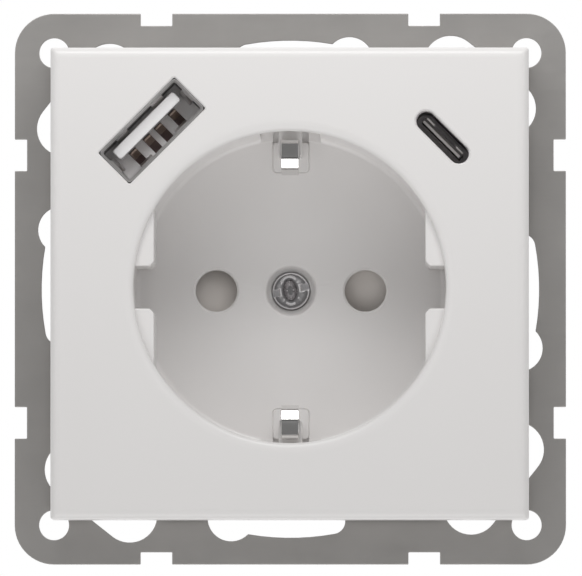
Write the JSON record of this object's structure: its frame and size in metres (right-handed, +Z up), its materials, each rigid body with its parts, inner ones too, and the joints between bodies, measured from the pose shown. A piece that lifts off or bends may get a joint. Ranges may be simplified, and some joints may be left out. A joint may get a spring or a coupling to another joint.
{
  "type": "usb wall socket",
  "caption": "Flush wall socket insert with a round earthed well, a shuttered pair of pin holes, two USB charging ports and a pierced square support plate.",
  "frame": {"origin": "axis of the well, on the rear face of the support plate, which lies on the wall", "axes": "+X to the right and +Z up as seen from the room, +Y into the wall"},
  "size_m": [0.07, 0.0454, 0.07],
  "materials": {
    "cover_white": "satin white thermoplastic",
    "plate_steel": "plain sheet steel, dull",
    "zinc_plate": "bright plated steel",
    "port_metal": "nickel plated sheet",
    "black_plastic": "moulded black",
    "dark_grey_plastic": "moulded dark grey",
    "light_grey_plastic": "moulded light grey",
    "orange_plastic": "moulded orange",
    "contact_brass": "stamped brass",
    "spring_steel": "stainless spring strip and wire",
    "board_green": "glass fibre board with solder resist",
    "ferrite": "ferrite",
    "winding_tape": "yellow insulating tape",
    "can_sleeve": "sleeved aluminium can",
    "fuse_ceramic": "ceramic body"
  },
  "bodies": {
    "socket": {"cover_plate": "cover_white", "cover_screw": "zinc_plate", "support_plate": "plate_steel", "plate_screws": "zinc_plate", "usb_carrier": "dark_grey_plastic", "usb_board": "board_green", "usb_a_shell": "port_metal", "usb_a_tongue": "light_grey_plastic", "usb_a_contacts": "contact_brass", "usb_c_shell": "port_metal", "usb_c_tongue": "black_plastic", "socket_base": "light_grey_plastic", "earth_strap": "zinc_plate", "shutter_spring": "spring_steel", "left_contact": "contact_brass", "right_contact": "contact_brass", "left_clamp_spring": "spring_steel", "right_clamp_spring": "spring_steel", "earth_clamp_spring": "spring_steel", "rear_housing": "dark_grey_plastic", "housing_screws": "zinc_plate", "power_board": "board_green", "transformer_core": "ferrite", "transformer_winding": "winding_tape", "bulk_capacitor": "can_sleeve", "line_fuse": "fuse_ceramic", "board_link": "contact_brass"},
    "shutter": {"shutter": "light_grey_plastic"},
    "left_button": {"left_release_button": "orange_plastic"},
    "right_button": {"right_release_button": "orange_plastic"},
    "earth_button": {"earth_release_button": "orange_plastic"}
  },
  "joints": [
    {"name": "shutter_turn", "type": "hinge", "parent": "socket", "child": "shutter", "pos_m": [0, 0.01, 0], "axis": [0, -1, 0], "range_deg": [0, 36], "stiffness_Nm_per_rad": 0.004, "deforming": ["shutter_spring"]},
    {"name": "left_release", "type": "slide", "parent": "socket", "child": "left_button", "axis": [0, -1, 0], "range_m": [0, 0.0015], "stiffness_N_per_m": 400, "deforming": ["left_clamp_spring"]},
    {"name": "right_release", "type": "slide", "parent": "socket", "child": "right_button", "axis": [0, -1, 0], "range_m": [0, 0.0015], "stiffness_N_per_m": 400, "deforming": ["right_clamp_spring"]},
    {"name": "earth_release", "type": "slide", "parent": "socket", "child": "earth_button", "axis": [0, -1, 0], "range_m": [0, 0.0015], "stiffness_N_per_m": 400, "deforming": ["earth_clamp_spring"]}
  ]
}
